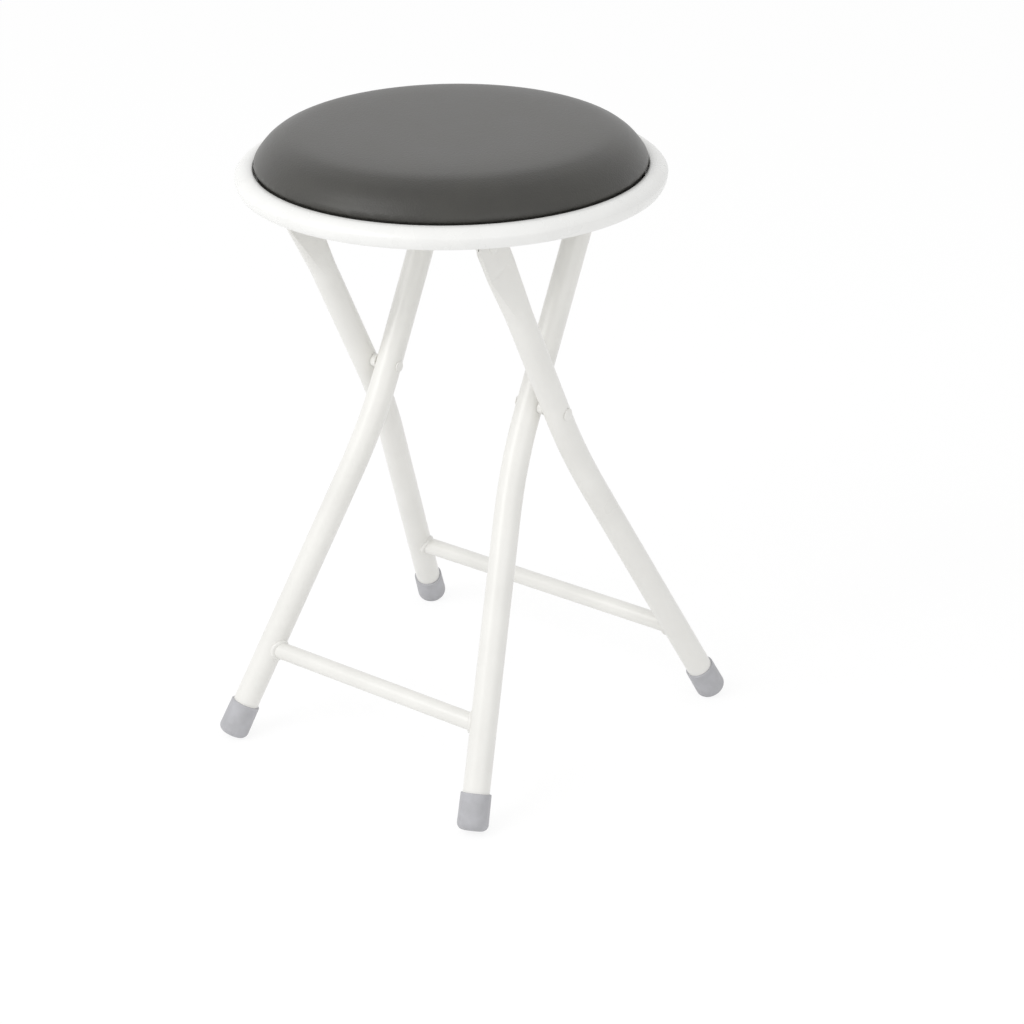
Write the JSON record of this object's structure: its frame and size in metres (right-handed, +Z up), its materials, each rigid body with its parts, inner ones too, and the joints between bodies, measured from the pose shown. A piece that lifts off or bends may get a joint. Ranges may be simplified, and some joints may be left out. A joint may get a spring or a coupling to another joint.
{
  "type": "folding_stool",
  "caption": "Folding round stool with a grey padded seat in a white rim, crossed white tube frames and grey foot caps.",
  "frame": {"origin": "on the floor, under the middle of the seat", "axes": "X along the pivots and crossbars, Y along the fold from the inner feet to the outer feet, Z up"},
  "size_m": [0.3, 0.3, 0.4605],
  "materials": {
    "white_steel": "gloss white powder coat",
    "white_plastic": "gloss white moulding",
    "grey_vinyl": "semi-matt dark grey vinyl",
    "foam": "open-cell foam",
    "board": "raw plywood",
    "grey_foot": "matt grey moulding",
    "zinc": "bright zinc plate"
  },
  "bodies": {
    "outer_frame": {"outer_left_leg": "white_steel", "outer_right_leg": "white_steel", "outer_crossbar": "white_steel", "outer_left_cap": "grey_foot", "outer_right_cap": "grey_foot", "left_seat_rivet": "white_steel", "right_seat_rivet": "white_steel", "left_seat_spacer": "white_steel", "right_seat_spacer": "white_steel", "left_cross_rivet": "white_steel", "right_cross_rivet": "white_steel", "left_cross_spacer": "white_steel", "right_cross_spacer": "white_steel"},
    "inner_frame": {"inner_left_leg": "white_steel", "inner_right_leg": "white_steel", "inner_crossbar": "white_steel", "inner_left_cap": "grey_foot", "inner_right_cap": "grey_foot", "inner_left_plug": "white_plastic", "inner_right_plug": "white_plastic", "left_tip_rivet": "zinc", "right_tip_rivet": "zinc"},
    "seat": {"seat_pan": "white_plastic", "seat_board": "board", "seat_foam": "foam", "seat_cover": "grey_vinyl", "rail_screws": "zinc", "left_rail": "white_steel", "right_rail": "white_steel", "left_lock_clip": "zinc", "right_lock_clip": "zinc", "left_clip_rivet": "zinc", "right_clip_rivet": "zinc", "left_link_rivet": "zinc", "right_link_rivet": "zinc", "left_link_washer": "zinc", "right_link_washer": "zinc"},
    "link": {"left_link": "white_steel", "right_link": "white_steel", "left_link_stud": "zinc", "right_link_stud": "zinc"}
  },
  "joints": [
    {"name": "fold", "type": "hinge", "parent": "outer_frame", "child": "inner_frame", "pos_m": [0, 0.004, 0.267], "axis": [1, 0, 0], "range_deg": [0, 49.8]},
    {"name": "seat_tip", "type": "hinge", "parent": "outer_frame", "child": "seat", "pos_m": [0, -0.06904, 0.40992], "axis": [1, 0, 0], "range_deg": [0, 114.94]},
    {"name": "link_turn", "type": "hinge", "parent": "seat", "child": "link", "pos_m": [0, 0.00349, 0.40992], "axis": [1, 0, 0], "range_deg": [-170.49, 0]}
  ],
  "couplings": [
    {"joint": "seat_tip", "follows": "fold", "ratio": 2.3081},
    {"joint": "link_turn", "follows": "fold", "ratio": -3.4234}
  ]
}
